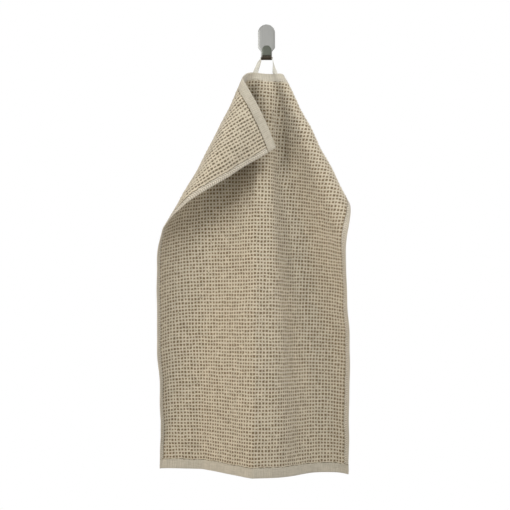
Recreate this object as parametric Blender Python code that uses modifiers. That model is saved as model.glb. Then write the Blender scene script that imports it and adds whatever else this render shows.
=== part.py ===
"""Hand towel of waffle-woven cotton, hanging by its tape loop on a small bent-steel wall hook.

Metres, +Z up. +X is the towel's right-hand side as seen from the room and +Y points into the wall.
The origin is the middle of the hook plate's back face, so the wall is the plane y = 0 and the whole
object lies at y < 0. The towel is a flat 40 x 70 cm cloth that a short table of soft folds bends
into the shape in which it hangs: the top left corner falls forward, the top right corner falls behind.
"""

from typing import NamedTuple

import bpy
import numpy as np

CM = 0.01
MM = 0.001

# ---- Driving dimensions -------------------------------------------------------------------------

TOWEL_WIDTH = 40.0 * CM
TOWEL_LENGTH = 70.0 * CM
CLOTH_THICKNESS = 2.2 * MM
HEM_HEIGHT = 1.8 * CM

PLATE_WIDTH = 3.0 * CM
PLATE_TOP = 2.4 * CM
PLATE_SHOULDER = -1.6 * CM
NECK_TOP = -2.5 * CM
HOOK_BOTTOM = -3.95 * CM
STRIP_WIDTH = 1.95 * CM
PRONG_WIDTH = 1.6 * CM
PRONG_TIP = -1.85 * CM
HOOK_DEPTH = 3.0 * CM
STEEL_THICKNESS = 1.5 * MM
BEND_RADIUS = 4.0 * MM

TAPE_WIDTH = 8.0 * MM
TAPE_THICKNESS = 0.9 * MM
TAPE_DEPTH_ON_HOOK = -1.85 * CM
SEWN_LENGTH = HEM_HEIGHT - 6.0 * MM
LOOP_LEFT_U = 19.4
LOOP_RIGHT_U = 22.8

SEAT_GAP = 0.3 * MM
SEWN_GAP = 0.6 * MM
WALL_CLEARANCE = 2.0 * MM
WALL_SOFTNESS = 2.0 * MM

# ---- How the cloth hangs ------------------------------------------------------------------------
# Flat cloth coordinates, in centimetres: u runs across from the left selvedge, v down from the top
# edge. SPINE_U is the line of cloth that hangs from the loop; every row is laid out from it.

SPINE_U = 20.0
SPINE_TOP = (-1.3, -3.5, -6.1)


class SpineRow(NamedTuple):
    """How the spine points at one height: yaw takes the right side back, lean brings the foot forward."""

    v: float
    yaw: float
    lean: float


SPINE = (
    SpineRow(v=0, yaw=7.5, lean=-5),
    SpineRow(v=7, yaw=9.5, lean=0.5),
    SpineRow(v=15, yaw=10.5, lean=4.5),
    SpineRow(v=30, yaw=14, lean=6.5),
    SpineRow(v=50, yaw=17.5, lean=5),
    SpineRow(v=70, yaw=18, lean=2),
)
SPINE_SWAY = -2.0
SPINE_EASE = 4.0
EASE_SAMPLES = 9


class Fold(NamedTuple):
    """A soft bend along a straight line of the cloth, from start to end, both (u, v) in centimetres.

    turn is the angle in degrees, at the start and at the end of the line, by which the cloth beyond
    it turns towards the room (or, where negative, towards the wall). width is how much cloth the
    bend takes up there, in centimetres.
    """

    name: str
    start: tuple
    end: tuple
    turn: tuple
    width: tuple


RIGHT_FOLDS = (
    Fold("loop tuck, right", (21.7, 0), (26.5, 28.6), (56, 63), (2, 16.5)),
    Fold("ridge, right shoulder", (21.2, 0), (26.0, 69.5), (-83, -42), (2, 5.6)),
    Fold("right valley", (22.2, 0), (33.7, 53.4), (60, 37), (2, 2)),
    Fold("right valley, outer slope", (21.6, 10), (41, 43.9), (25, 42), (16.7, 16.2)),
    Fold("back corner fold", (24.1, 0), (43.2, 27.3), (-218, -232), (3.8, 13.4)),
)
LEFT_FOLDS = (
    Fold("loop tuck, left", (17.8, 0), (17.2, 21.8), (40, 30), (2, 7.6)),
    Fold("ridge, left shoulder", (20.2, 0), (20.4, 70.4), (-66, -88), (12.8, 14.5)),
    Fold("left valley", (19.4, 0), (3.0, 45.8), (90, 111), (2, 19.3)),
    Fold("lower left valley", (4.0, 25), (3.4, 60.9), (-50, 88), (20.6, 13.5)),
    Fold("front corner fold", (11.7, 0), (1.6, 19.6), (71, 141), (11.6, 15)),
    Fold("hem corner", (12.9, 0), (6, 8.6), (67, 52), (2, 9.3)),
)

# The loop tips the middle of the top hem back under the hook: where along the hem, the pull's reach
# across and down, and how far it moves the edge back and down, in centimetres.
LOOP_PULL_AT = 21.0
LOOP_PULL_REACH = (3.6, 2.6)
LOOP_PULL_MOVE = (1.4, 0.45)


class Spacing(NamedTuple):
    """From start on, the mesh's columns or rows lie step apart, in centimetres."""

    start: float
    step: float


CLOTH_COLUMNS = (
    Spacing(start=0, step=1.3),
    Spacing(start=18.2, step=0.4),
    Spacing(start=20.2, step=0.6),
    Spacing(start=20.8, step=0.4),
    Spacing(start=24, step=1.0),
)
CLOTH_ROWS = (Spacing(start=0, step=0.4), Spacing(start=2, step=1.7))
FINE_U = 0.2
FINE_V = 0.1


class LegTurn(NamedTuple):
    """How far up a leg of the loop, and the share of its quarter twist that it has made there."""

    height: float
    share: float


LEFT_LEG = (LegTurn(height=0.35, share=0.15), LegTurn(height=0.75, share=0.6))
RIGHT_LEG = (LegTurn(height=0.15, share=0.4), LegTurn(height=0.6, share=0.8))
CROWN_REACH = 0.93
TAPE_SAMPLES = 4

# ---- How finely the hook is built ---------------------------------------------------------------
# Rows along the strip: round plate top, shoulder down to the neck, each bend, round prong tip.
# The two round ends stop at END_ANGLE, in degrees, a little short of a point.

PLATE_TOP_ROWS = 12
SHOULDER_ROWS = 9
BEND_ROWS = 7
TIP_ROWS = 10
STRIP_COLUMNS = 7
END_ANGLE = 5.0


def smoothstep(x):
    """0 below 0, 1 above 1, and an even S between."""
    x = np.clip(x, 0.0, 1.0)
    return x * x * (3.0 - 2.0 * x)


def turned(vectors, axis, angle):
    """The vectors turned about one unit axis by an angle each (Rodrigues' formula)."""
    cosine = np.cos(angle)[..., None]
    sine = np.sin(angle)[..., None]
    along = (vectors @ axis)[..., None]
    return vectors * cosine + np.cross(axis, vectors) * sine + axis * along * (1.0 - cosine)


def spine_angle(v, angles):
    """A column of the spine table at each v, eased over SPINE_EASE to either side."""
    stations = [row.v for row in SPINE]
    offsets = np.linspace(-SPINE_EASE, SPINE_EASE, EASE_SAMPLES)
    return np.radians(np.mean([np.interp(v + offset, stations, angles) for offset in offsets], axis=0))


def hung(vectors, v):
    """Cloth directions (across, down, towards the wall) as world directions beside the spine at v."""
    lean = spine_angle(v, [row.lean for row in SPINE])
    yaw = spine_angle(v, [row.yaw for row in SPINE])
    sway = np.radians(SPINE_SWAY)
    x, y, z = vectors[..., 0], vectors[..., 2], -vectors[..., 1]
    y, z = y * np.cos(lean) + z * np.sin(lean), z * np.cos(lean) - y * np.sin(lean)
    x, y = x * np.cos(yaw) - y * np.sin(yaw), y * np.cos(yaw) + x * np.sin(yaw)
    x, z = x * np.cos(sway) - z * np.sin(sway), z * np.cos(sway) + x * np.sin(sway)
    return np.stack([x, y, z], axis=-1)


def folded_across(u, v, folds, side):
    """The direction across the cloth at each (u, v), after the folds between the spine and there."""
    across = np.zeros(u.shape + (3,))
    across[..., 0] = 1.0
    for fold in reversed(folds):
        run = np.subtract(fold.end, fold.start)
        length = np.hypot(*run)
        line = run / length
        du, dv = u - fold.start[0], v - fold.start[1]
        along = np.clip((du * line[0] + dv * line[1]) / length, 0.0, 1.0)
        beyond = side * (du * line[1] - dv * line[0])
        turn = np.radians(fold.turn[0] + (fold.turn[1] - fold.turn[0]) * along)
        width = fold.width[0] + (fold.width[1] - fold.width[0]) * along
        axis = side * np.array([line[0], line[1], 0.0])
        across = turned(across, axis, turn * smoothstep(beyond / width + 0.5))
    return across


def running_sum(steps, spacing):
    """The path through evenly spaced direction vectors, along the first axis, from zero."""
    moves = (steps[1:] + steps[:-1]) * (spacing / 2.0)
    return np.concatenate([np.zeros_like(moves[:1]), np.cumsum(moves, axis=0)])


def cloth_surface(u, v):
    """The hung cloth's middle surface, in metres, on a grid of evenly spaced u and v in centimetres.

    The spine is laid out downwards from SPINE_TOP, and each row is then laid out from the spine
    to both sides, along the direction that the folds have turned it to.
    """
    grid_u, grid_v = np.meshgrid(u, v, indexing="ij")
    right = folded_across(grid_u, grid_v, RIGHT_FOLDS, side=1)
    left = folded_across(grid_u, grid_v, LEFT_FOLDS, side=-1)
    across = hung(np.where((grid_u > SPINE_U)[..., None], right, left), v)
    down = hung(np.tile([0.0, 1.0, 0.0], (len(v), 1)), v)
    spine = running_sum(down, v[1] - v[0]) + SPINE_TOP
    rows = running_sum(across, u[1] - u[0])
    at_spine = np.argmin(np.abs(u - SPINE_U))
    points = rows - rows[at_spine] + spine

    reach = ((grid_u - LOOP_PULL_AT) / LOOP_PULL_REACH[0]) ** 2
    pull = np.exp(-reach) * smoothstep(1.0 - grid_v / LOOP_PULL_REACH[1])
    points[..., 1] += LOOP_PULL_MOVE[0] * pull
    points[..., 2] -= LOOP_PULL_MOVE[1] * pull
    points *= CM

    # What would pass the wall is pressed flat against it, softly.
    rest = -(WALL_CLEARANCE + CLOTH_THICKNESS / 2.0)
    points[..., 1] = rest - WALL_SOFTNESS * np.logaddexp(0.0, (rest - points[..., 1]) / WALL_SOFTNESS)
    return points


# ---- Small helpers ------------------------------------------------------------------------------


def new_material(name, color, roughness, metallic=0.0):
    """A Principled material."""
    material = bpy.data.materials.new(name)
    material.use_nodes = True
    shader = material.node_tree.nodes["Principled BSDF"]
    shader.inputs["Base Color"].default_value = (*color, 1.0)
    shader.inputs["Roughness"].default_value = roughness
    shader.inputs["Metallic"].default_value = metallic
    return material


def sheet_object(name, points, thickness, offset, material, collection):
    """A grid of points as a surface, thickened by Solidify, both ways at offset 0 and behind it at -1."""
    rows, columns = points.shape[:2]
    index = np.arange(rows * columns).reshape(rows, columns)
    faces = np.stack([index[:-1, :-1], index[:-1, 1:], index[1:, 1:], index[1:, :-1]], axis=-1)
    mesh = bpy.data.meshes.new(name)
    mesh.from_pydata(points.reshape(-1, 3).tolist(), [], faces.reshape(-1, 4).tolist())
    mesh.materials.append(material)
    mesh.shade_smooth()
    sheet = bpy.data.objects.new(name, mesh)
    collection.objects.link(sheet)
    solid = sheet.modifiers.new("thickness", "SOLIDIFY")
    solid.thickness = thickness
    solid.offset = offset
    return sheet


def smooth_path(points, samples):
    """A Catmull-Rom curve through the points, with the same number of samples on each span."""
    points = np.asarray(points, dtype=float)
    padded = np.vstack([2 * points[0] - points[1], points, 2 * points[-1] - points[-2]])
    t = np.linspace(0.0, 1.0, samples, endpoint=False)[:, None]
    spans = []
    for p0, p1, p2, p3 in zip(padded[:-3], padded[1:-2], padded[2:-1], padded[3:]):
        slope_in, slope_out = (p2 - p0) / 2.0, (p3 - p1) / 2.0
        spans.append(
            (2 * t**3 - 3 * t**2 + 1) * p1
            + (t**3 - 2 * t**2 + t) * slope_in
            + (3 * t**2 - 2 * t**3) * p2
            + (t**3 - t**2) * slope_out
        )
    return np.vstack([*spans, points[-1:]])


# ---- Towel --------------------------------------------------------------------------------------


def fine_cloth():
    """The hung cloth on a fine even grid, from which the mesh and the tape's seats are picked."""
    u = np.linspace(0.0, TOWEL_WIDTH / CM, round(TOWEL_WIDTH / CM / FINE_U) + 1)
    v = np.linspace(0.0, TOWEL_LENGTH / CM, round(TOWEL_LENGTH / CM / FINE_V) + 1)
    return cloth_surface(u, v)


def stations(spacings, end, fine):
    """Which lines of the fine grid are the mesh's own, as the table of spacings places them up to end."""
    stops = [spacing.start for spacing in spacings[1:]] + [end]
    runs = [np.arange(run.start, stop - run.step / 2.0, run.step) for run, stop in zip(spacings, stops)]
    return np.rint(np.append(np.concatenate(runs), end) / fine).astype(int)


def build_towel(cloth, collection):
    """The cloth, with its hems and selvedges, as one sheet in its hanging shape."""
    cotton = new_material("waffle cotton", (0.48, 0.42, 0.32), 0.9)
    columns = stations(CLOTH_COLUMNS, TOWEL_WIDTH / CM, FINE_U)
    rows = stations(CLOTH_ROWS, TOWEL_LENGTH / CM, FINE_V)
    return sheet_object("towel", cloth[np.ix_(columns, rows)], CLOTH_THICKNESS, 0.0, cotton, collection)


# ---- Hanging loop -------------------------------------------------------------------------------


def tape_on_hem(cloth, u, down_hem):
    """Three points across the tape where it is sewn to the back of the hem, this far below the edge."""
    half = round(TAPE_WIDTH / 2.0 / CM / FINE_U)
    column = round(u / FINE_U) + np.array([-half, 0, half])
    row = round(down_hem / CM / FINE_V)
    across = cloth[column + 1, row] - cloth[column - 1, row]
    down = cloth[column, row + 1] - cloth[column, row]
    outward = np.cross(across, down)
    outward /= np.linalg.norm(outward, axis=1)[:, None]
    return cloth[column, row] + outward * (CLOTH_THICKNESS / 2.0 + SEWN_GAP + TAPE_THICKNESS / 2.0)


def tape_across(centre, direction):
    """Three points across the free tape at this centre."""
    half = TAPE_WIDTH / 2.0 * direction / np.linalg.norm(direction)
    return np.array([centre - half, centre, centre + half])


def tape_leg(cloth, u, side, turns):
    """One leg of the loop, from its sewn end up to the hook's edge, as rows of three points."""
    sewn = [tape_on_hem(cloth, u, down_hem)[::side] for down_hem in (SEWN_LENGTH, SEWN_LENGTH / 2.0, 0.0)]
    top = sewn[-1]
    along_hem = (top[2] - top[0]) / TAPE_WIDTH
    into_wall = np.array([0.0, 1.0, 0.0])
    beside_hook = side * (STRIP_WIDTH / 2.0 + SEAT_GAP + TAPE_THICKNESS / 2.0)
    shoulder = np.array([beside_hook, TAPE_DEPTH_ON_HOOK, HOOK_BOTTOM + STEEL_THICKNESS / 3.0])
    free = []
    for turn in turns:
        centre = top[1] + (shoulder - top[1]) * turn.height
        free.append(tape_across(centre, along_hem + (into_wall - along_hem) * turn.share))
    return [*sewn, *free, tape_across(shoulder, into_wall)]


def build_loop(cloth, collection):
    """A flat woven tape: sewn to the back of the hem, up beside the hook, over its floor and down again."""
    cotton = new_material("cotton tape", (0.78, 0.75, 0.66), 0.85)
    floor = HOOK_BOTTOM + STEEL_THICKNESS + SEAT_GAP + TAPE_THICKNESS / 2.0
    reach = STRIP_WIDTH / 2.0 * CROWN_REACH
    into_wall = np.array([0.0, 1.0, 0.0])
    crown = [tape_across(np.array([x, TAPE_DEPTH_ON_HOOK, floor]), into_wall) for x in (-reach, 0.0, reach)]
    left = tape_leg(cloth, LOOP_LEFT_U, -1, LEFT_LEG)
    right = tape_leg(cloth, LOOP_RIGHT_U, 1, RIGHT_LEG)
    rows = np.array([*left, *crown, *reversed(right)])
    points = smooth_path(rows.reshape(len(rows), -1), TAPE_SAMPLES).reshape(-1, 3, 3)
    return sheet_object("hanging_loop", points, TAPE_THICKNESS, 0.0, cotton, collection)


# ---- Wall hook ----------------------------------------------------------------------------------


def arc(start, end, count):
    """Evenly spaced angles from start to end degrees, in radians."""
    return np.radians(np.linspace(start, end, count))


def hook_profile():
    """The strip's back line in the (y, z) plane with the strip's half width: plate, bends, floor, prong.

    Returns an array of rows (y, z, half width), from the plate's round top to the prong's round tip.
    """
    rows = []
    plate_radius = PLATE_WIDTH / 2.0
    neck_half = STRIP_WIDTH / 2.0
    tip_radius = PRONG_WIDTH / 2.0
    for angle in arc(END_ANGLE, 90, PLATE_TOP_ROWS):
        z = PLATE_TOP - plate_radius * (1 - np.cos(angle))
        rows.append((0.0, z, plate_radius * np.sin(angle)))
    for share in np.linspace(0.0, 1.0, SHOULDER_ROWS):
        z = PLATE_SHOULDER + (NECK_TOP - PLATE_SHOULDER) * share
        rows.append((0.0, z, plate_radius + (neck_half - plate_radius) * smoothstep(share)))

    outer = BEND_RADIUS + STEEL_THICKNESS
    for angle in arc(0, 90, BEND_ROWS):
        rows.append((-outer * (1 - np.cos(angle)), HOOK_BOTTOM + outer * (1 - np.sin(angle)), neck_half))
    rows.append((-HOOK_DEPTH / 2.0, HOOK_BOTTOM, (neck_half + tip_radius) / 2.0))
    for angle in arc(90, 0, BEND_ROWS):
        y = -HOOK_DEPTH + outer * (1 - np.cos(angle))
        rows.append((y, HOOK_BOTTOM + outer * (1 - np.sin(angle)), tip_radius))
    for angle in arc(90, END_ANGLE, TIP_ROWS):
        z = PRONG_TIP - tip_radius * (1 - np.cos(angle))
        rows.append((-HOOK_DEPTH, z, tip_radius * np.sin(angle)))
    return np.array(rows)


def build_hook(collection):
    """One strip of steel: a round-topped plate on the wall, narrowed and bent forward and up into a prong."""
    steel = new_material("brushed steel", (0.38, 0.39, 0.37), 0.35, metallic=1.0)
    y, z, half = hook_profile().T
    x = half[:, None] * np.linspace(-1.0, 1.0, STRIP_COLUMNS)
    y, z = np.broadcast_to(y[:, None], x.shape), np.broadcast_to(z[:, None], x.shape)
    points = np.stack([x, y, z], axis=-1)
    return sheet_object("wall_hook", points, STEEL_THICKNESS, -1.0, steel, collection)


def main():
    for leftover in list(bpy.data.objects):
        bpy.data.objects.remove(leftover, do_unlink=True)
    collection = bpy.data.collections.new("hand towel on a wall hook")
    bpy.context.scene.collection.children.link(collection)
    cloth = fine_cloth()
    build_towel(cloth, collection)
    build_loop(cloth, collection)
    build_hook(collection)


main()
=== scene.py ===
"""Dressed model of a waffle-woven hand towel that hangs by its tape loop from a small bent-steel hook.

Metres, +Z up. +X is the towel's right-hand side as seen from the room and +Y points away from the
room. The hook's plate stands on the plane y = 0 and the whole object lies at y < 0. The cloth's own
coordinates (u across from the left selvedge, v down from the top edge) are in centimetres of flat
cloth, as are the folds.
"""

import logging
import math
from dataclasses import dataclass, field
from enum import Enum
from typing import NamedTuple

import bmesh
import bpy
import numpy as np
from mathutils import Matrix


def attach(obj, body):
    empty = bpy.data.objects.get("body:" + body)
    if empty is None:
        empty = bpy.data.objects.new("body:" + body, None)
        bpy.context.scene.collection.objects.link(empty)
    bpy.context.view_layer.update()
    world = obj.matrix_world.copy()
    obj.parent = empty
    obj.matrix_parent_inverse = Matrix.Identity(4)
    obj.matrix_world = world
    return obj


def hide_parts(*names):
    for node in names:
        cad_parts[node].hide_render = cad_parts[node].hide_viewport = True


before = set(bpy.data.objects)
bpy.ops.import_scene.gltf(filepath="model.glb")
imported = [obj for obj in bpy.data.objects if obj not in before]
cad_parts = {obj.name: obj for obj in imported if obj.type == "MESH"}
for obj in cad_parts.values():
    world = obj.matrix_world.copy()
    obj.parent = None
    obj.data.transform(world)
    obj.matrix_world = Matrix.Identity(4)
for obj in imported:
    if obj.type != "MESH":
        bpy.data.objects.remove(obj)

CM = 0.01
MM = 0.001
TURN = 2.0 * math.pi

Array = np.ndarray
Tree = bpy.types.NodeTree
Socket = bpy.types.NodeSocket
Colour = tuple[float, float, float, float]

log = logging.getLogger("hand_towel")


class Face(Enum):
    """A face of the cloth: the one towards the room, or the one away from it."""

    FRONT = -1
    BACK = 1


class Side(Enum):
    """A leg of the loop, as seen from the room."""

    LEFT = -1
    RIGHT = 1


# ---- Helpers ------------------------------------------------------------------------------------


def linear(hex_colour: str) -> Colour:
    """The linear colour of an sRGB hex value, by the standard sRGB curve.

    Args:
        hex_colour: a hash and six hex digits, such as "#CDC3AC".

    Returns:
        Red, green, blue and full alpha.
    """
    srgb = np.array([int(hex_colour[at : at + 2], 16) for at in (1, 3, 5)]) / 255.0
    straight = np.where(srgb <= 0.04045, srgb / 12.92, ((srgb + 0.055) / 1.055) ** 2.4)
    return (*(float(channel) for channel in straight), 1.0)


def add_node(
    tree: Tree, kind: str, inputs: dict | None = None, out: int | str = 0, **settings: str
) -> Socket:
    """Adds a node with its settings and links.

    Args:
        tree: the node tree of a material or of the surround.
        kind: Blender's name for the type of node, less the "ShaderNode" in front.
        inputs: for each input, by name or number, a constant or the socket that feeds it.
        out: the output that is wanted, by name or number.
        **settings: values of the node's own properties.

    Returns:
        The output socket.
    """
    node = tree.nodes.new("ShaderNode" + kind)
    for name, value in settings.items():
        setattr(node, name, value)
    for key, value in (inputs or {}).items():
        if isinstance(value, Socket):
            tree.links.new(value, node.inputs[key])
        else:
            node.inputs[key].default_value = value
    return node.outputs[out]


def ribs(tree: Tree, place: Socket, pitch: float) -> Socket:
    """A pattern of even ribs: the sine of a whole turn for each pitch along place, both in metres."""
    angle = add_node(tree, "Math", {0: place, 1: TURN / pitch}, operation="MULTIPLY")
    return add_node(tree, "Math", {0: angle}, operation="SINE")


def new_material(name: str, shader_inputs: dict) -> tuple[bpy.types.Material, bpy.types.Node]:
    """A material with one Principled shader.

    Args:
        name: the material's name.
        shader_inputs: constants for the shader's own sockets.

    Returns:
        The material and its shader node.
    """
    material = bpy.data.materials.new(name)
    material.use_nodes = True
    shader = material.node_tree.nodes["Principled BSDF"]
    for key, value in shader_inputs.items():
        shader.inputs[key].default_value = value
    return material, shader


def new_piece(
    name: str, points: Array, faces: Array, material: bpy.types.Material
) -> bpy.types.Object:
    """A smooth-shaded mesh that rides on the object, with the given material.

    Args:
        name: the piece's name.
        points: vertex positions in metres, one row each.
        faces: vertex numbers of each quad, counter-clockwise from outside.
        material: what the piece is made of.

    Returns:
        The new object.
    """
    mesh = bpy.data.meshes.new(name)
    mesh.from_pydata(points.reshape(-1, 3).tolist(), [], faces.reshape(-1, faces.shape[-1]).tolist())
    mesh.materials.append(material)
    mesh.shade_smooth()
    piece = bpy.data.objects.new(name, mesh)
    bpy.context.scene.collection.objects.link(piece)
    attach(piece, "root")
    return piece


def lay_flat(mesh: bpy.types.Mesh, cloth: Array) -> None:
    """Gives a mesh the UV map "cloth" from each vertex's place on the flat cloth, in metres."""
    corner = np.zeros(len(mesh.loops), np.int32)
    mesh.loops.foreach_get("vertex_index", corner)
    layer = mesh.uv_layers.new(name="cloth")
    layer.uv.foreach_set("vector", cloth.reshape(-1, 2)[corner].astype(np.float32).ravel())


def numbered(points: Array) -> Array:
    """The vertex number of each point of a grid."""
    return np.arange(points.size // 3).reshape(points.shape[:-1])


def closed(index: Array) -> Array:
    """Vertex numbers with the first of each row once more at its end."""
    return np.concatenate([index, index[..., :1]], axis=-1)


def grid_faces(index: Array) -> Array:
    """The quads of a grid of vertex numbers, each as (here, next row, both, next column)."""
    return np.stack([index[:-1, :-1], index[1:, :-1], index[1:, 1:], index[:-1, 1:]], axis=-1)


def unit(vectors: Array) -> Array:
    """The vectors at length 1."""
    return vectors / np.linalg.norm(vectors, axis=-1, keepdims=True)


def smoothstep(x: Array) -> Array:
    """0 below 0, 1 above 1, and 3x squared less 2x cubed between."""
    x = np.clip(x, 0.0, 1.0)
    return x * x * (3.0 - 2.0 * x)


def turned(vectors: Array, axis: Array, angle: Array) -> Array:
    """Each vector turned about one unit axis by its own angle.

    Rodrigues' formula: the vector times the cosine, plus axis cross vector times the sine, plus the
    part along the axis times one less the cosine.

    Args:
        vectors: what is turned, as rows of three.
        axis: a unit vector.
        angle: the angle of each vector's turn, in radians.

    Returns:
        The turned vectors.
    """
    cosine = np.cos(angle)[..., None]
    sine = np.sin(angle)[..., None]
    along = (vectors @ axis)[..., None]
    return vectors * cosine + np.cross(axis, vectors) * sine + axis * along * (1.0 - cosine)


def running_sum(steps: Array, spacing: float) -> Array:
    """The path through evenly spaced directions: each move is the mean of two neighbours times spacing."""
    moves = (steps[1:] + steps[:-1]) * (spacing / 2.0)
    return np.concatenate([np.zeros_like(moves[:1]), np.cumsum(moves, axis=0)])


def smooth_path(rows: Array, samples: int) -> Array:
    """A Catmull-Rom curve through the rows.

    On each span it is the cubic that starts and ends at two rows with half the step between their
    neighbours as its slopes.

    Args:
        rows: the points to pass through, one row each, of any number of values.
        samples: how many points each span gets.

    Returns:
        The rows of the curve.
    """
    padded = np.vstack([2 * rows[0] - rows[1], rows, 2 * rows[-1] - rows[-2]])
    t = np.linspace(0.0, 1.0, samples, endpoint=False)[None, :, None]
    p0, p1, p2, p3 = (padded[first : len(padded) - 3 + first, None] for first in range(4))
    slope_in, slope_out = (p2 - p0) / 2.0, (p3 - p1) / 2.0
    spans = (
        (2 * t**3 - 3 * t**2 + 1) * p1
        + (t**3 - 2 * t**2 + t) * slope_in
        + (3 * t**2 - 2 * t**3) * p2
        + (t**3 - t**2) * slope_out
    )
    return np.vstack([spans.reshape(-1, rows.shape[-1]), rows[-1:]])


def rolling(u: Array, v: Array, wavelength: float, seed: int) -> Array:
    """An even unevenness of about unit height over the cloth.

    It is a sum of sine waves of random heading and phase, each a little shorter or longer than the
    wavelength, divided by the root of half their number, which is the usual height of such a sum.

    Args:
        u, v: where on the cloth, in centimetres.
        wavelength: the waves' middle length, in centimetres.
        seed: starts the random numbers, so that each run gives the same cloth.

    Returns:
        The height at each place.
    """
    waves = 14
    shortest, longest = 0.7, 1.4
    rng = np.random.default_rng(seed)
    heading = rng.uniform(0.0, TURN, waves)
    turn_per_cm = TURN / (wavelength * rng.uniform(shortest, longest, waves))
    phase = rng.uniform(0.0, TURN, waves)
    across = np.multiply.outer(u, turn_per_cm * np.cos(heading))
    down = np.multiply.outer(v, turn_per_cm * np.sin(heading))
    return np.sin(across + down + phase).sum(axis=-1) / math.sqrt(waves / 2.0)


# ---- How the cloth hangs ------------------------------------------------------------------------


class SpineRow(NamedTuple):
    """How the spine points at one height: yaw takes the right side back, lean brings the foot forward."""

    v: float
    yaw: float
    lean: float


class Fold(NamedTuple):
    """A soft bend along a straight line of the cloth, from start to end, both (u, v) in centimetres.

    turn is the angle in degrees, at the start and at the end of the line, by which the cloth beyond
    it turns towards the room (or, where negative, away from it). width is how much cloth the
    bend takes up there, in centimetres.
    """

    name: str
    start: tuple[float, float]
    end: tuple[float, float]
    turn: tuple[float, float]
    width: tuple[float, float]


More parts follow.
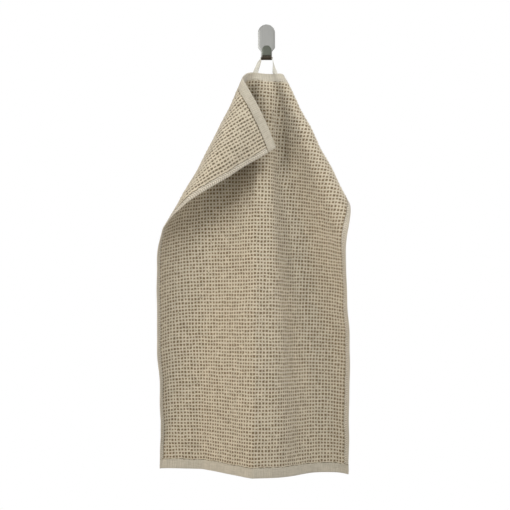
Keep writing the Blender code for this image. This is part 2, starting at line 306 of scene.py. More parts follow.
@dataclass
class HangingShape:
    """The shape in which the flat cloth hangs, laid out from a spine under the loop.

    Sizes and cloth coordinates are in centimetres, angles in degrees, points in metres. fine is the
    spacing of the grid that the shape is worked out on. The spine runs down the cloth at spine_u, from
    the point spine_top. Its table is smoothed over spine_ease, and spine_sway tips the whole cloth to
    one side. The loop pulls the edge at loop_pull_at, with a reach across and down, by a move back
    and down. back_clearance is kept free behind the cloth, and back_softness rounds what lies on it.
    """

    width: float = 40.0
    length: float = 70.0
    thickness: float = 0.22
    fine: float = 0.1
    spine_u: float = 20.0
    spine_top: tuple[float, float, float] = (-1.3, -3.5, -6.1)
    spine_sway: float = -2.0
    spine_ease: float = 4.0
    ease_samples: int = 9
    spine: tuple[SpineRow, ...] = (
        SpineRow(v=0, yaw=7.5, lean=-5),
        SpineRow(v=7, yaw=9.5, lean=0.5),
        SpineRow(v=15, yaw=10.5, lean=4.5),
        SpineRow(v=30, yaw=14, lean=6.5),
        SpineRow(v=50, yaw=17.5, lean=5),
        SpineRow(v=70, yaw=18, lean=2),
    )
    right_folds: tuple[Fold, ...] = (
        Fold("loop tuck, right", (21.7, 0), (26.5, 28.6), (56, 63), (2, 16.5)),
        Fold("ridge, right shoulder", (21.2, 0), (26.0, 69.5), (-83, -42), (2, 5.6)),
        Fold("right valley", (22.2, 0), (33.7, 53.4), (60, 37), (2, 2)),
        Fold("right valley, outer slope", (21.6, 10), (41, 43.9), (25, 42), (16.7, 16.2)),
        Fold("back corner fold", (24.1, 0), (43.2, 27.3), (-218, -232), (3.8, 13.4)),
    )
    left_folds: tuple[Fold, ...] = (
        Fold("loop tuck, left", (17.8, 0), (17.2, 21.8), (40, 30), (2, 7.6)),
        Fold("ridge, left shoulder", (20.2, 0), (20.4, 70.4), (-66, -88), (12.8, 14.5)),
        Fold("left valley", (19.4, 0), (3.0, 45.8), (90, 111), (2, 19.3)),
        Fold("lower left valley", (4.0, 25), (3.4, 60.9), (-50, 88), (20.6, 13.5)),
        Fold("front corner fold", (11.7, 0), (1.6, 19.6), (71, 141), (11.6, 15)),
        Fold("hem corner", (12.9, 0), (6, 8.6), (67, 52), (2, 9.3)),
    )
    loop_pull_at: float = 21.0
    loop_pull_reach: tuple[float, float] = (3.6, 2.6)
    loop_pull_move: tuple[float, float] = (1.4, 0.45)
    back_clearance: float = 0.2
    back_softness: float = 0.2
    middle: Array = field(init=False, repr=False)
    outward: Array = field(init=False, repr=False)

    def __post_init__(self) -> None:
        """Works out the middle surface and its normals, which point to the room, on the fine grid."""
        u = np.linspace(0.0, self.width, round(self.width / self.fine) + 1)
        v = np.linspace(0.0, self.length, round(self.length / self.fine) + 1)
        self.middle = self.surface(u, v)
        across, down = np.gradient(self.middle, axis=0), np.gradient(self.middle, axis=1)
        self.outward = unit(np.cross(down, across))

    def spine_angle(self, v: Array, angles: list[float]) -> Array:
        """One column of the spine table at each v, as the mean over spine_ease to either side.

        Args:
            v: how far down the spine.
            angles: the column, in degrees.

        Returns:
            The angles in radians.
        """
        stations = [row.v for row in self.spine]
        offsets = np.linspace(-self.spine_ease, self.spine_ease, self.ease_samples)
        nearby = [np.interp(v + offset, stations, angles) for offset in offsets]
        return np.radians(np.mean(nearby, axis=0))

    def hung(self, vectors: Array, v: Array) -> Array:
        """Cloth directions beside the spine at v as world directions.

        Args:
            vectors: directions as (across, down, back).
            v: how far down the spine.

        Returns:
            The directions leant forward, then yawed, then swayed.
        """
        lean = self.spine_angle(v, [row.lean for row in self.spine])
        yaw = self.spine_angle(v, [row.yaw for row in self.spine])
        sway = math.radians(self.spine_sway)
        x, y, z = vectors[..., 0], vectors[..., 2], -vectors[..., 1]
        y, z = y * np.cos(lean) + z * np.sin(lean), z * np.cos(lean) - y * np.sin(lean)
        x, y = x * np.cos(yaw) - y * np.sin(yaw), y * np.cos(yaw) + x * np.sin(yaw)
        x, z = x * math.cos(sway) - z * math.sin(sway), z * math.cos(sway) + x * math.sin(sway)
        return np.stack([x, y, z], axis=-1)

    def folded_across(self, u: Array, v: Array, folds: tuple[Fold, ...], side: Side) -> Array:
        """The direction across the cloth at each (u, v), after the folds between the spine and there.

        Each fold turns what lies beyond its line by its angle times a smoothstep over its width.

        Args:
            u, v: where on the cloth.
            folds: the folds of that side, from the spine outwards.
            side: which side of the spine they are on.

        Returns:
            Unit vectors as (across, down, back).
        """
        across = np.zeros(u.shape + (3,))
        across[..., 0] = 1.0
        for fold in reversed(folds):
            run = np.subtract(fold.end, fold.start)
            length = np.hypot(*run)
            line = run / length
            du, dv = u - fold.start[0], v - fold.start[1]
            along = np.clip((du * line[0] + dv * line[1]) / length, 0.0, 1.0)
            beyond = side.value * (du * line[1] - dv * line[0])
            turn = np.radians(fold.turn[0] + (fold.turn[1] - fold.turn[0]) * along)
            width = fold.width[0] + (fold.width[1] - fold.width[0]) * along
            axis = side.value * np.array([line[0], line[1], 0.0])
            across = turned(across, axis, turn * smoothstep(beyond / width + 0.5))
        return across

    def surface(self, u: Array, v: Array) -> Array:
        """The middle surface on a grid of evenly spaced u and v, in metres.

        The spine is the running sum of its directions from spine_top. Each row is the running sum of
        the folded directions across, moved to meet the spine. Under the loop the edge is pulled back
        and down by a bell curve, and what would pass the plane y = 0 is pressed flat on it, softly.

        Args:
            u, v: the places of the grid's lines.

        Returns:
            The points, by u and then by v.
        """
        grid_u, grid_v = np.meshgrid(u, v, indexing="ij")
        right = self.folded_across(grid_u, grid_v, self.right_folds, Side.RIGHT)
        left = self.folded_across(grid_u, grid_v, self.left_folds, Side.LEFT)
        across = self.hung(np.where((grid_u > self.spine_u)[..., None], right, left), v)
        down = self.hung(np.tile([0.0, 1.0, 0.0], (len(v), 1)), v)
        spine = running_sum(down, v[1] - v[0]) + self.spine_top
        rows = running_sum(across, u[1] - u[0])
        points = rows - rows[np.argmin(np.abs(u - self.spine_u))] + spine

        bell = np.exp(-(((grid_u - self.loop_pull_at) / self.loop_pull_reach[0]) ** 2))
        pull = bell * smoothstep(1.0 - grid_v / self.loop_pull_reach[1])
        points[..., 1] += self.loop_pull_move[0] * pull
        points[..., 2] -= self.loop_pull_move[1] * pull
        rest = -(self.back_clearance + self.thickness / 2.0)
        over = np.logaddexp(0.0, (rest - points[..., 1]) / self.back_softness)
        points[..., 1] = rest - self.back_softness * over
        return points * CM

    def read(self, grid: Array, u: Array, v: Array) -> Array:
        """A fine grid read between its points: the four nearest, weighted by how near they are.

        Args:
            grid: a row of values for each point of the fine grid.
            u, v: where to read it.

        Returns:
            A row of values for each place.
        """
        # Kept just short of the last line, so that there is always a next one.
        short = 1.0001
        across = np.clip(u / self.fine, 0.0, grid.shape[0] - short)
        down = np.clip(v / self.fine, 0.0, grid.shape[1] - short)
        i, j = across.astype(int), down.astype(int)
        a, b = (across - i)[..., None], (down - j)[..., None]
        here = grid[i, j] * (1 - b) + grid[i, j + 1] * b
        beside = grid[i + 1, j] * (1 - b) + grid[i + 1, j + 1] * b
        return here * (1 - a) + beside * a

    def at(self, u: Array, v: Array, height: Array | float = 0.0) -> Array:
        """Points of the cloth at (u, v), lifted towards the room by height in metres."""
        lift = np.broadcast_to(height, np.shape(u))[..., None]
        return self.read(self.middle, u, v) + unit(self.read(self.outward, u, v)) * lift


# ---- Finishes -----------------------------------------------------------------------------------


@dataclass(frozen=True)
class WaffleCotton:
    """Waffle-woven (honeycomb) cotton and linen, undyed stone beige, washed, matt.

    Floating yarns make raised light ridges round square cells, and the cells' floors lie in their
    shade. That shade is painted onto the floors as a darker colour, painted shade on top of the shade
    that the mesh's own relief casts. A towel of this kind has plain hems and a narrow herringbone
    selvedge.

    pit_edge gives the depths at which a floor's painted shade starts and is full, pit_join how much of
    it runs on between the cells, and smaller_behind how much less of it the back shows.
    cell_variation, ragged and slub say how uneven the cells, their edges and the yarns' tone are, and
    slub_height how far a slub stands out, in heights of a yarn. seam_width is the width of a dark
    line beside a band: painted shade in the seam.
    """

    ridge: str = "#C0B6A0"
    # The floors' two colours are painted shade on the cells' floors, in front and behind.
    pit_painted_shade: str = "#6D5B40"
    pit_behind_painted_shade: str = "#5E5039"
    hem: str = "#AEA797"
    selvedge: str = "#D2CBBA"
    selvedge_groove: str = "#82796A"
    # The seam colour is painted shade: a dark line in the seams beside the selvedges and hems.
    seam: str = "#665B46"
    roughness: float = 0.95
    fuzz: float = 0.25
    fuzz_roughness: float = 0.6
    cell_variation: float = 0.6
    pit_edge: tuple[float, float] = (0.18, 0.62)
    pit_join: float = 0.1
    pit_join_behind: float = 0.4
    smaller_behind: float = 0.14
    slub: float = 0.24
    slub_width: float = MM / 0.9
    slub_length: float = MM / 0.06
    slub_height: float = 3.0
    ragged: float = 0.5
    ragged_size: float = 1.6 * MM
    herringbone_pitch: float = 3.8 * MM
    hem_rib_pitch: float = 3.1 * MM
    hem_rib: float = 0.09
    seam_width: float = 0.9 * MM
    yarn_pitch: float = 1.2 * MM
    yarn_relief: float = 0.1 * MM

    def material(self, towel: "Towel") -> bpy.types.Material:
        """The cloth's material, which reads the piece's UV map and its cell numbers.

        Args:
            towel: the towel whose hem and selvedge sizes it follows.

        Returns:
            The material.
        """
        material, shader = new_material(
            "waffle cotton",
            {"Roughness": self.roughness, "Sheen Weight": self.fuzz, "Sheen Roughness": self.fuzz_roughness},
        )
        tree = material.node_tree
        cloth = add_node(tree, "UVMap", uv_map="cloth")
        u, v = (add_node(tree, "SeparateXYZ", {0: cloth}, axis) for axis in ("X", "Y"))
        cells = add_node(tree, "Attribute", out="Vector", attribute_name="cells")
        behind = add_node(tree, "SeparateXYZ", {0: cells}, "Z")
        pit_painted_shade = self.cell_shade(tree, cloth, cells, behind)
        beside, on_selvedge, in_painted_seam_shade, on_hem = self.bands(tree, u, v, towel)

        # Slubs: the yarns' thick and thin places, stretched along the warp and along the weft.
        across, along = 1.0 / self.slub_width, 1.0 / self.slub_length
        streaks = []
        for stretch in ((across, along, 1.0), (along, across, 1.0)):
            place = add_node(tree, "Mapping", {"Vector": cloth, "Scale": stretch})
            grain = {"Vector": place, "Scale": 1.0, "Detail": 2.0}
            streaks.append(add_node(tree, "TexNoise", grain, noise_dimensions="2D"))
        slubs = add_node(tree, "Math", dict(enumerate(streaks)), operation="ADD")
        least = 1.0 - self.slub * 2.0
        tone = add_node(tree, "Math", {0: slubs, 1: self.slub * 2.0, 2: least}, operation="MULTIPLY_ADD")

        # The herringbone of the selvedge: slanting stripes that turn back at the band's middle.
        folded = add_node(tree, "Math", {0: u, 1: towel.selvedge / 2.0}, operation="PINGPONG")
        slant = add_node(tree, "Math", {0: v, 1: folded}, operation="ADD")
        stripes = ribs(tree, slant, self.herringbone_pitch)
        twill = add_node(tree, "Math", {0: stripes, 1: 0.5, 2: 0.5}, operation="MULTIPLY_ADD")
        # The hem's faint ribs run down the cloth.
        hem_ribs = ribs(tree, u, self.hem_rib_pitch)
        rib_tone = add_node(tree, "Math", {0: hem_ribs, 1: self.hem_rib, 2: 1.0}, operation="MULTIPLY_ADD")

        seam, groove, crest = linear(self.seam), linear(self.selvedge_groove), linear(self.selvedge)
        # Painted shade: the cells' floors take the darker floor colours, in front and behind.
        floors = {0: behind, 6: linear(self.pit_painted_shade), 7: linear(self.pit_behind_painted_shade)}
        shade = add_node(tree, "Mix", floors, 2, data_type="RGBA")
        edge = add_node(tree, "Mix", {0: twill, 6: groove, 7: crest}, 2, data_type="RGBA")
        hem = add_node(tree, "VectorMath", {0: linear(self.hem)[:3], "Scale": rib_tone}, operation="SCALE")
        colour = linear(self.ridge)
        # Painted shade: the seam colour darkens the lines beside the selvedges and the seams of the hems.
        layers = ((pit_painted_shade, shade), (beside, seam), (on_selvedge, edge), (in_painted_seam_shade, seam), (on_hem, hem))
        for share, layer in layers:
            colour = add_node(tree, "Mix", {0: share, 6: colour, 7: layer}, 2, data_type="RGBA")
        colour = add_node(tree, "VectorMath", {0: colour, "Scale": tone}, operation="SCALE")
        tree.links.new(colour, shader.inputs["Base Color"])

        # Yarns, drawn at twice their real 0.6 mm so that they show, cross at right angles.
        warp, weft = ribs(tree, u, self.yarn_pitch), ribs(tree, v, self.yarn_pitch)
        weave = add_node(tree, "Math", {0: warp, 1: weft}, operation="ADD")
        height = add_node(tree, "Math", {0: slubs, 1: self.slub_height, 2: weave}, operation="MULTIPLY_ADD")
        relief = {"Strength": 0.5, "Distance": self.yarn_relief, "Height": height}
        tree.links.new(add_node(tree, "Bump", relief, "Normal"), shader.inputs["Normal"])
        return material

    def cell_shade(self, tree: Tree, cloth: Socket, cells: Socket, behind: Socket) -> Socket:
        """The painted shade on the cells' floors: 1 at a cell's middle and 0 on its ridges.

        It is the lower of two raised cosines, one across the cell and one down it. Some of it runs on
        between the cells, along the weft in front and along the warp behind. Each cell is a little
        deeper or shallower than the next, and ragged at its edge.

        Args:
            tree: the material's node tree.
            cloth: the place on the flat cloth, in metres.
            cells: the place in cells, whose height is 0 in front and 1 behind.
            behind: that height.

        Returns:
            How much of the floors' painted shade shows.
        """
        dips = []
        for axis in ("X", "Y"):
            place = add_node(tree, "SeparateXYZ", {0: cells}, axis)
            angle = add_node(tree, "Math", {0: place, 1: TURN}, operation="MULTIPLY")
            wave = add_node(tree, "Math", {0: angle}, operation="COSINE")
            dips.append(add_node(tree, "Math", {0: wave, 1: -0.5, 2: 0.5}, operation="MULTIPLY_ADD"))
        run = add_node(tree, "Mix", {0: behind, 2: dips[1], 3: dips[0]})
        cross = add_node(tree, "Mix", {0: behind, 2: dips[0], 3: dips[1]})
        joined = add_node(tree, "Mix", {0: behind, 2: self.pit_join, 3: self.pit_join_behind})
        cross = add_node(tree, "Mix", {0: joined, 2: cross, 3: 1.0})
        pit_painted_shade = add_node(tree, "Math", {0: run, 1: cross}, operation="MINIMUM")
        pit_painted_shade = add_node(tree, "Math", {0: behind, 1: -self.smaller_behind, 2: pit_painted_shade}, operation="MULTIPLY_ADD")

        cell = add_node(tree, "VectorMath", {0: cells}, operation="FLOOR")
        chance = add_node(tree, "TexWhiteNoise", {"Vector": cell}, noise_dimensions="2D")
        varied = {0: chance, 1: self.cell_variation, 2: 1.0 - self.cell_variation / 2.0}
        depth = add_node(tree, "Math", varied, operation="MULTIPLY_ADD")
        pit_painted_shade = add_node(tree, "Math", {0: pit_painted_shade, 1: depth}, operation="MULTIPLY")
        size = {"Vector": cloth, "Scale": 1.0 / self.ragged_size}
        grain = add_node(tree, "TexNoise", size, noise_dimensions="2D")
        ragged = {0: grain, 1: self.ragged, 2: -self.ragged / 2.0}
        grain = add_node(tree, "Math", ragged, operation="MULTIPLY_ADD")
        pit_painted_shade = add_node(tree, "Math", {0: pit_painted_shade, 1: grain}, operation="ADD")
        edge = {0: pit_painted_shade, 1: self.pit_edge[0], 2: self.pit_edge[1], 3: 0.0, 4: 1.0}
        return add_node(tree, "MapRange", edge, interpolation_type="SMOOTHSTEP")

    def bands(self, tree: Tree, u: Socket, v: Socket, towel: "Towel") -> list[Socket]:
        """The bands along the cloth's edges, each 1 inside its band and 0 outside it.

        Args:
            tree: the material's node tree.
            u, v: the place on the flat cloth, in metres.
            towel: the towel whose hem and selvedge sizes they follow.

        Returns:
            Selvedges with the painted shade beside them, selvedges, hems with the painted shade at their
            seams, hems.
        """
        shares = []
        for place, extent, band in (
            (u, towel.width, towel.selvedge + self.seam_width),
            (u, towel.width, towel.selvedge),
            (v, towel.length, towel.hem),
            (v, towel.length, towel.hem - self.seam_width),
        ):
            off = add_node(tree, "Math", {0: place, 1: extent / 2.0}, operation="SUBTRACT")
            off = add_node(tree, "Math", {0: off}, operation="ABSOLUTE")
            shares.append(add_node(tree, "Math", {0: off, 1: extent / 2.0 - band}, operation="GREATER_THAN"))
        return shares


@dataclass(frozen=True)
class CottonTape:
    """Narrow plain-woven cotton tape, bleached ivory, matt.

    Its yarns cross at right angles, drawn at about twice their real 0.6 mm so that they show. Where
    the weave's relief is low the tape is painted darker in its groove colour: painted shade.
    """

    colour: str = "#D0CEC4"
    groove: str = "#AFACA0"
    roughness: float = 0.9
    fuzz: float = 0.2
    fuzz_roughness: float = 0.6
    rib_pitch: float = 1.3 * MM
    rib_relief: float = 0.15 * MM

    def material(self) -> bpy.types.Material:
        """The tape's material, which reads the UV map: across the tape, then along it, in metres.

        Returns:
            The material.
        """
        material, shader = new_material(
            "cotton tape",
            {"Roughness": self.roughness, "Sheen Weight": self.fuzz, "Sheen Roughness": self.fuzz_roughness},
        )
        tree = material.node_tree
        cloth = add_node(tree, "UVMap", uv_map="cloth")
        across, along = (
            ribs(tree, add_node(tree, "SeparateXYZ", {0: cloth}, axis), self.rib_pitch) for axis in ("X", "Y")
        )
        height = add_node(tree, "Math", {0: across, 1: along}, operation="MULTIPLY")
        share = add_node(tree, "Math", {0: height, 1: 0.5, 2: 0.5}, operation="MULTIPLY_ADD")
        # Painted shade: the tape is darker where its weave's relief is low.
        tones = {0: share, 6: linear(self.groove), 7: linear(self.colour)}
        colour = add_node(tree, "Mix", tones, 2, data_type="RGBA")
        tree.links.new(colour, shader.inputs["Base Color"])
        relief = {"Strength": 0.5, "Distance": self.rib_relief, "Height": height}
        tree.links.new(add_node(tree, "Bump", relief, "Normal"), shader.inputs["Normal"])
        return material


@dataclass(frozen=True)
class SewingThread:
    """Spun cotton sewing thread in the cloth's own beige, a little uneven in tone."""

    colour: str = "#D2CAB4"
    roughness: float = 0.85
    fuzz: float = 0.2
    twist_length: float = MM / 1.5
    twist_tone: float = 0.4

    def material(self) -> bpy.types.Material:
        """The thread's material, a little lighter and darker along each stitch.

        Returns:
            The material.
        """
        material, shader = new_material(
            "sewing thread", {"Roughness": self.roughness, "Sheen Weight": self.fuzz}
        )
        tree = material.node_tree
        place = add_node(tree, "TexCoord", out="Object")
        noise = add_node(tree, "TexNoise", {"Vector": place, "Scale": 1.0 / self.twist_length})
        least = 1.0 - self.twist_tone / 2.0
        tone = add_node(tree, "Math", {0: noise, 1: self.twist_tone, 2: least}, operation="MULTIPLY_ADD")
        toned = {0: linear(self.colour)[:3], "Scale": tone}
        colour = add_node(tree, "VectorMath", toned, operation="SCALE")
        tree.links.new(colour, shader.inputs["Base Color"])
        return material


@dataclass(frozen=True)
class BrushedSteel:
    """Stainless steel strip, brushed lengthwise and then bent, satin.

    The brush lines run down the plate, drawn wider than real ones so that they show. The prong
    and the underside of the bend mirror darker parts of the room, and that is painted into their
    colour as a painted reflection, darker than the plate's: the prong from prong_start in front of
    the plane y = 0, over prong_ease, and the underside between the heights of underside_edge over
    the hook's lowest line.
    """

    plate: str = "#8B8B88"
    # The prong and underside colours are painted reflections of the darker room, not the steel's own tone.
    prong: str = "#565951"
    underside: str = "#726D65"
    grazing: str = "#8C857E"
    roughness: float = 0.38
    anisotropy: float = 0.4
    line_width: float = MM / 2.2
    line_depth: float = MM / 0.2
    line_length: float = MM / 0.03
    line_relief: float = 0.05 * MM
    line_roughness: float = 0.2
    line_tone: float = 0.25
    prong_start: float = 1.8 * MM
    prong_ease: float = 6.0 * MM
    underside_edge: tuple[float, float] = (4.5 * MM, 2.0 * MM)

    def material(self, hook: "SteelHook") -> bpy.types.Material:
        """The steel's material, on Object coordinates.

        Args:
            hook: the hook whose lowest line tells where its underside is.

        Returns:
            The material.
        """
        material, shader = new_material(
            "brushed stainless steel",
            {"Metallic": 1.0, "Anisotropic": self.anisotropy, "Specular Tint": linear(self.grazing)},
        )
        tree = material.node_tree
        place = add_node(tree, "TexCoord", out="Object")
        sizes = (self.line_width, self.line_depth, self.line_length)
        stretch = {"Vector": place, "Scale": tuple(1.0 / size for size in sizes)}
        stretched = add_node(tree, "Mapping", stretch)
        lines = add_node(tree, "TexNoise", {"Vector": stretched, "Scale": 1.0, "Detail": 3.0})
        even = {0: lines, 1: self.line_roughness, 2: self.roughness - self.line_roughness / 2.0}
        rough = add_node(tree, "Math", even, operation="MULTIPLY_ADD")
        tree.links.new(rough, shader.inputs["Roughness"])

        # Painted reflection: the prong and the underside of the bend are painted darker, for the darker room
        # they mirror.
        colour = linear(self.plate)
        prong_end = -self.prong_start - self.prong_ease
        start, full = (hook.bottom + height for height in self.underside_edge)
        for axis, limits, toned in (
            ("Y", {1: -self.prong_start, 2: prong_end}, self.prong),
            ("Z", {1: start, 2: full}, self.underside),
        ):
            along = add_node(tree, "SeparateXYZ", {0: place}, axis)
            inputs = {0: along, **limits, 3: 0.0, 4: 1.0}
            share = add_node(tree, "MapRange", inputs, interpolation_type="SMOOTHSTEP")
            colour = add_node(tree, "Mix", {0: share, 6: colour, 7: linear(toned)}, 2, data_type="RGBA")
        light = {0: lines, 1: self.line_tone, 2: 1.0 - self.line_tone / 2.0}
        tone = add_node(tree, "Math", light, operation="MULTIPLY_ADD")
        colour = add_node(tree, "VectorMath", {0: colour, "Scale": tone}, operation="SCALE")
        tree.links.new(colour, shader.inputs["Base Color"])
        relief = {"Strength": 0.15, "Distance": self.line_relief, "Height": lines}
        tree.links.new(add_node(tree, "Bump", relief, "Normal"), shader.inputs["Normal"])
        return material


# ---- Towel --------------------------------------------------------------------------------------


class Crease(NamedTuple):
    """A fine crease down the cloth, from start to end, both (u, v) in centimetres.

    half_width is in centimetres. depth is in metres, and positive where the cloth lies back. fade_in
    and fade_out are the shares of the crease over which it starts and ends.
    """

    start: tuple[float, float]
    end: tuple[float, float]
    half_width: float
    depth: float
    fade_in: float = 0.15
    fade_out: float = 0.5

    def at(self, u: Array, v: Array) -> Array:
        """How far the cloth lies back, as a bell curve across the crease.

        Args:
            u, v: where on the cloth, in centimetres.

        Returns:
            The depth at each place, in metres.
        """
        share = np.clip((v - self.start[1]) / (self.end[1] - self.start[1]), 0.0, 1.0)
        middle = self.start[0] + (self.end[0] - self.start[0]) * share
        fade = smoothstep(share / self.fade_in) * smoothstep((1.0 - share) / self.fade_out)
        return self.depth * fade * np.exp(-(((u - middle) / self.half_width) ** 2))


@dataclass
class Towel:
    """The cloth: waffle weave between two plain hems and two herringbone selvedges, one closed sheet.

    Sizes and heights are in metres. Mesh lines, and all waves, reaches and moves along the cloth, are
    in centimetres. half is how far the ridges stand from the middle surface, and relief how deep the
    cells' floors lie under them. high_share and low_share are the heights of a cell's two kinds of
    side. The weave has two alike faces: where one has a ridge crossing, the other has a cell.

    wander and jitter move the crossings along the cloth and roughness lifts them, while swell and
    pucker lift the cloth. The outer edge_kept stays in place. Swell and pucker start at free_from
    below the top, over free_over, and swell fades over back_ease where the cloth comes near back_gap.
    """

    shape: HangingShape
    width: float = 0.40
    length: float = 0.70
    hem: float = 1.8 * CM
    selvedge: float = 0.85 * CM
    cells_across: int = 67
    cells_down: int = 108
    half: float = 1.6 * MM
    relief: float = 3.0 * MM
    high_share: float = 0.8
    low_share: float = 0.62
    hem_half: float = 1.0 * MM
    hem_stitch: float = 1.62 * CM
    stitch_half: float = 0.5 * MM
    selvedge_half: float = 0.85 * MM
    rim_half: float = 0.35 * MM
    selvedge_columns: tuple[float, ...] = (0.0, 0.06, 0.32, 0.6)
    hem_rows: tuple[float, ...] = (0.0, 0.07, 0.3, 0.75, 1.2, 1.5, 1.62, 1.72)
    edge_kept: float = 0.5
    seed: int = 11
    wander: float = 0.028
    wander_waves: tuple[float, float] = (5.0, 4.0)
    jitter: float = 0.038
    swell: float = 0.7 * MM
    swell_wave: float = 7.0
    free_from: float = 2.0
    free_over: float = 4.0
    back_gap: float = 3.0 * MM
    back_ease: float = 9.0 * MM
    pucker: float = 0.35 * MM
    pucker_wave: float = 1.6
    pucker_stretch: float = 0.3
    pucker_reach: float = 1.2
    roughness: float = 0.14 * MM
    creases: tuple[Crease, ...] = (
        Crease((23.5, 1.9), (27.0, 19.0), half_width=0.6, depth=3.2 * MM),
        Crease((22.2, 1.9), (23.8, 17.0), half_width=0.6, depth=-2.2 * MM),
        Crease((17.2, 1.9), (16.6, 9.0), half_width=0.7, depth=2.5 * MM),
    )

    def lines(
        self, edge: tuple[float, ...], band: float, cells: int, extent: float
    ) -> tuple[Array, Array, Array]:
        """The mesh lines one way: those of an edge band, two per cell, and the other band's.

        Args:
            edge: places of the edge band's lines, in centimetres.
            band: the edge band's width, in metres.
            cells: how many waffle cells there are between the bands.
            extent: the cloth's size that way, in metres.

        Returns:
            Each line's place in centimetres, its place in cells, and whether it is in a band.
        """
        first = np.array(edge)
        cell = (extent - 2 * band) / cells / CM
        woven = band / CM + np.arange(2 * cells + 1) * cell / 2.0
        place = np.concatenate([first, woven, extent / CM - first[::-1]])
        in_band = np.ones(len(place), bool)
        in_band[len(first) : -len(first)] = False
        return place, (place - band / CM) / cell, in_band

    def offsets(self, face: Face, cells: Array, plain: Array, rim: Array, seam: Array) -> Array:
        """How far a face stands from the middle surface at each mesh point, in metres.

        On the waffle a ridge crossing is 1, the middle of a cell's side high_share or low_share, and
        its floor 0, times relief. The weft's ridges are the higher in front, the warp's behind. Bands
        are flat, thin at the rim and dip at the hem's seam.

        Args:
            face: which face of the cloth.
            cells: the place of each mesh point, in cells across and down.
            plain: the bands' half thickness, and 0 on the waffle.
            rim, seam: shares of the thickness at the rim and at the seam.

        Returns:
            The offsets.
        """
        phase = 0.0 if face is Face.FRONT else 0.5
        warp, weft = self.low_share, self.high_share
        if face is Face.BACK:
            warp, weft = weft, warp
        crest_u, crest_v = (np.cos(math.pi * (part + phase)) ** 2 for part in cells)
        ridges = warp * crest_u * (1 - crest_v) + weft * crest_v * (1 - crest_u)
        height = crest_u * crest_v + ridges
        waffle = self.half - self.relief * (1.0 - height)
        return np.where(plain > 0, plain, waffle) * seam * rim

    def build(self) -> bpy.types.Object:
        """The towel's mesh: two faces on the same lines, joined round the rim.

        Returns:
            The piece.
        """
        u, cell_u, band_u = self.lines(self.selvedge_columns, self.selvedge, self.cells_across, self.width)
        v, cell_v, band_v = self.lines(self.hem_rows, self.hem, self.cells_down, self.length)
        grid_u, grid_v = np.meshgrid(u, v, indexing="ij")
        cells = np.meshgrid(cell_u, cell_v, indexing="ij")
        in_hem = np.broadcast_to(band_v, grid_u.shape)
        in_selvedge = np.broadcast_to(band_u[:, None], grid_u.shape)
        plain = np.where(in_hem, self.hem_half, np.where(in_selvedge, self.selvedge_half, 0.0))

        from_end = np.minimum(grid_v, self.length / CM - grid_v)
        from_edge = np.minimum(np.minimum(grid_u, self.width / CM - grid_u), from_end)
        from_seam = from_end - self.hem_stitch / CM
        rim = np.where(np.isclose(from_edge, 0.0), self.rim_half / self.hem_half, 1.0)
        seam = np.where(np.isclose(from_seam, 0.0), self.stitch_half / self.hem_half, 1.0)

        # The weave wanders a little, each crossing lies a little off, and the cloth swells gently.
        rng = np.random.default_rng(self.seed)
        loose = np.where(from_edge > self.edge_kept, 1.0, 0.0)
        wander_u, wander_v = (
            self.wander * rolling(grid_u, grid_v, wave, seed) + rng.normal(0, self.jitter, grid_u.shape)
            for seed, wave in enumerate(self.wander_waves, start=1)
        )
        place_u = grid_u + loose * wander_u
        place_v = grid_v + loose * wander_v
        free = smoothstep((grid_v - self.free_from) / self.free_over)
        from_back = -self.shape.at(grid_u, grid_v)[..., 1]
        room_behind = smoothstep((from_back - self.back_gap) / self.back_ease)
        swell = self.swell * free * rolling(grid_u, grid_v, self.swell_wave, seed=3) * room_behind
        near_seam = np.exp(-((from_seam / self.pucker_reach) ** 2))
        puckers = rolling(grid_u, grid_v * self.pucker_stretch, self.pucker_wave, seed=4)
        swell += self.pucker * free * near_seam * puckers
        swell -= sum(crease.at(grid_u, grid_v) for crease in self.creases)

        sheets = []
        for face in Face:
            rough = rng.normal(0, self.roughness, grid_u.shape) * loose
            offset = self.offsets(face, cells, plain, rim, seam) + rough
            sheets.append(self.shape.at(place_u, place_v, swell - face.value * offset))
        points = np.stack(sheets)
        index = numbered(points)
        front, back = index
        faces = np.concatenate([self.quads(front, True), self.quads(back, False), self.rim_quads(index)])

        material = WaffleCotton().material(self)
        piece = new_piece("waffle_towel", points, faces, material)
        cloth = np.stack([grid_u, grid_v], axis=-1) * CM
        self.dress(piece.data, np.stack([cloth, cloth]), cells)
        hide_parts("towel")
        return piece

    @staticmethod
    def quads(index: Array, flipped: bool) -> Array:
        """A face's quads, each starting at a ridge crossing or a cell's floor.

        The first corner decides where a quad is cut into triangles, so every cut runs from crossing
        to floor and each cell is an even four-sided dip.

        Args:
            index: the face's vertex numbers.
            flipped: whether the quads run the other way round, as in front.

        Returns:
            The quads, one row each.
        """
        quads = grid_faces(index.T).transpose(1, 0, 2)
        if not flipped:
            quads = quads[..., ::-1]
        i, j = np.indices(quads.shape[:2])
        rolled = np.roll(quads, 1, axis=-1)
        odd = ((i + j) % 2 == 1)[..., None]
        return np.where(odd, rolled, quads).reshape(-1, 4)

    @staticmethod
    def rim_quads(index: Array) -> Array:
        """The quads round the rim, from the front face's border to the back's.

        Args:
            index: the vertex numbers of the front, then of the back.

        Returns:
            The quads, one row each.
        """
        front, back = (
            np.concatenate([face[0, :-1], face[:-1, -1], face[-1, :0:-1], face[:0:-1, 0]]) for face in index
        )
        return np.stack([np.roll(front, -1), front, back, np.roll(back, -1)], axis=-1)

    @staticmethod
    def dress(mesh: bpy.types.Mesh, cloth: Array, cells: list[Array]) -> None:
        """Gives the mesh its UV map, metres of flat cloth, and each point its place in cells.

        Args:
            mesh: the towel's mesh.
            cloth: (u, v) of each point of the front, then of the back.
            cells: the places in cells across and down; the back's lie half a cell on, at height 1.
        """
        lay_flat(mesh, cloth)
        front = np.stack([*cells, np.zeros_like(cells[0])], axis=-1)
        both = np.stack([front, front + [0.5, 0.5, 1.0]])
        attribute = mesh.attributes.new("cells", "FLOAT_VECTOR", "POINT")
        attribute.data.foreach_set("vector", both.astype(np.float32).ravel())


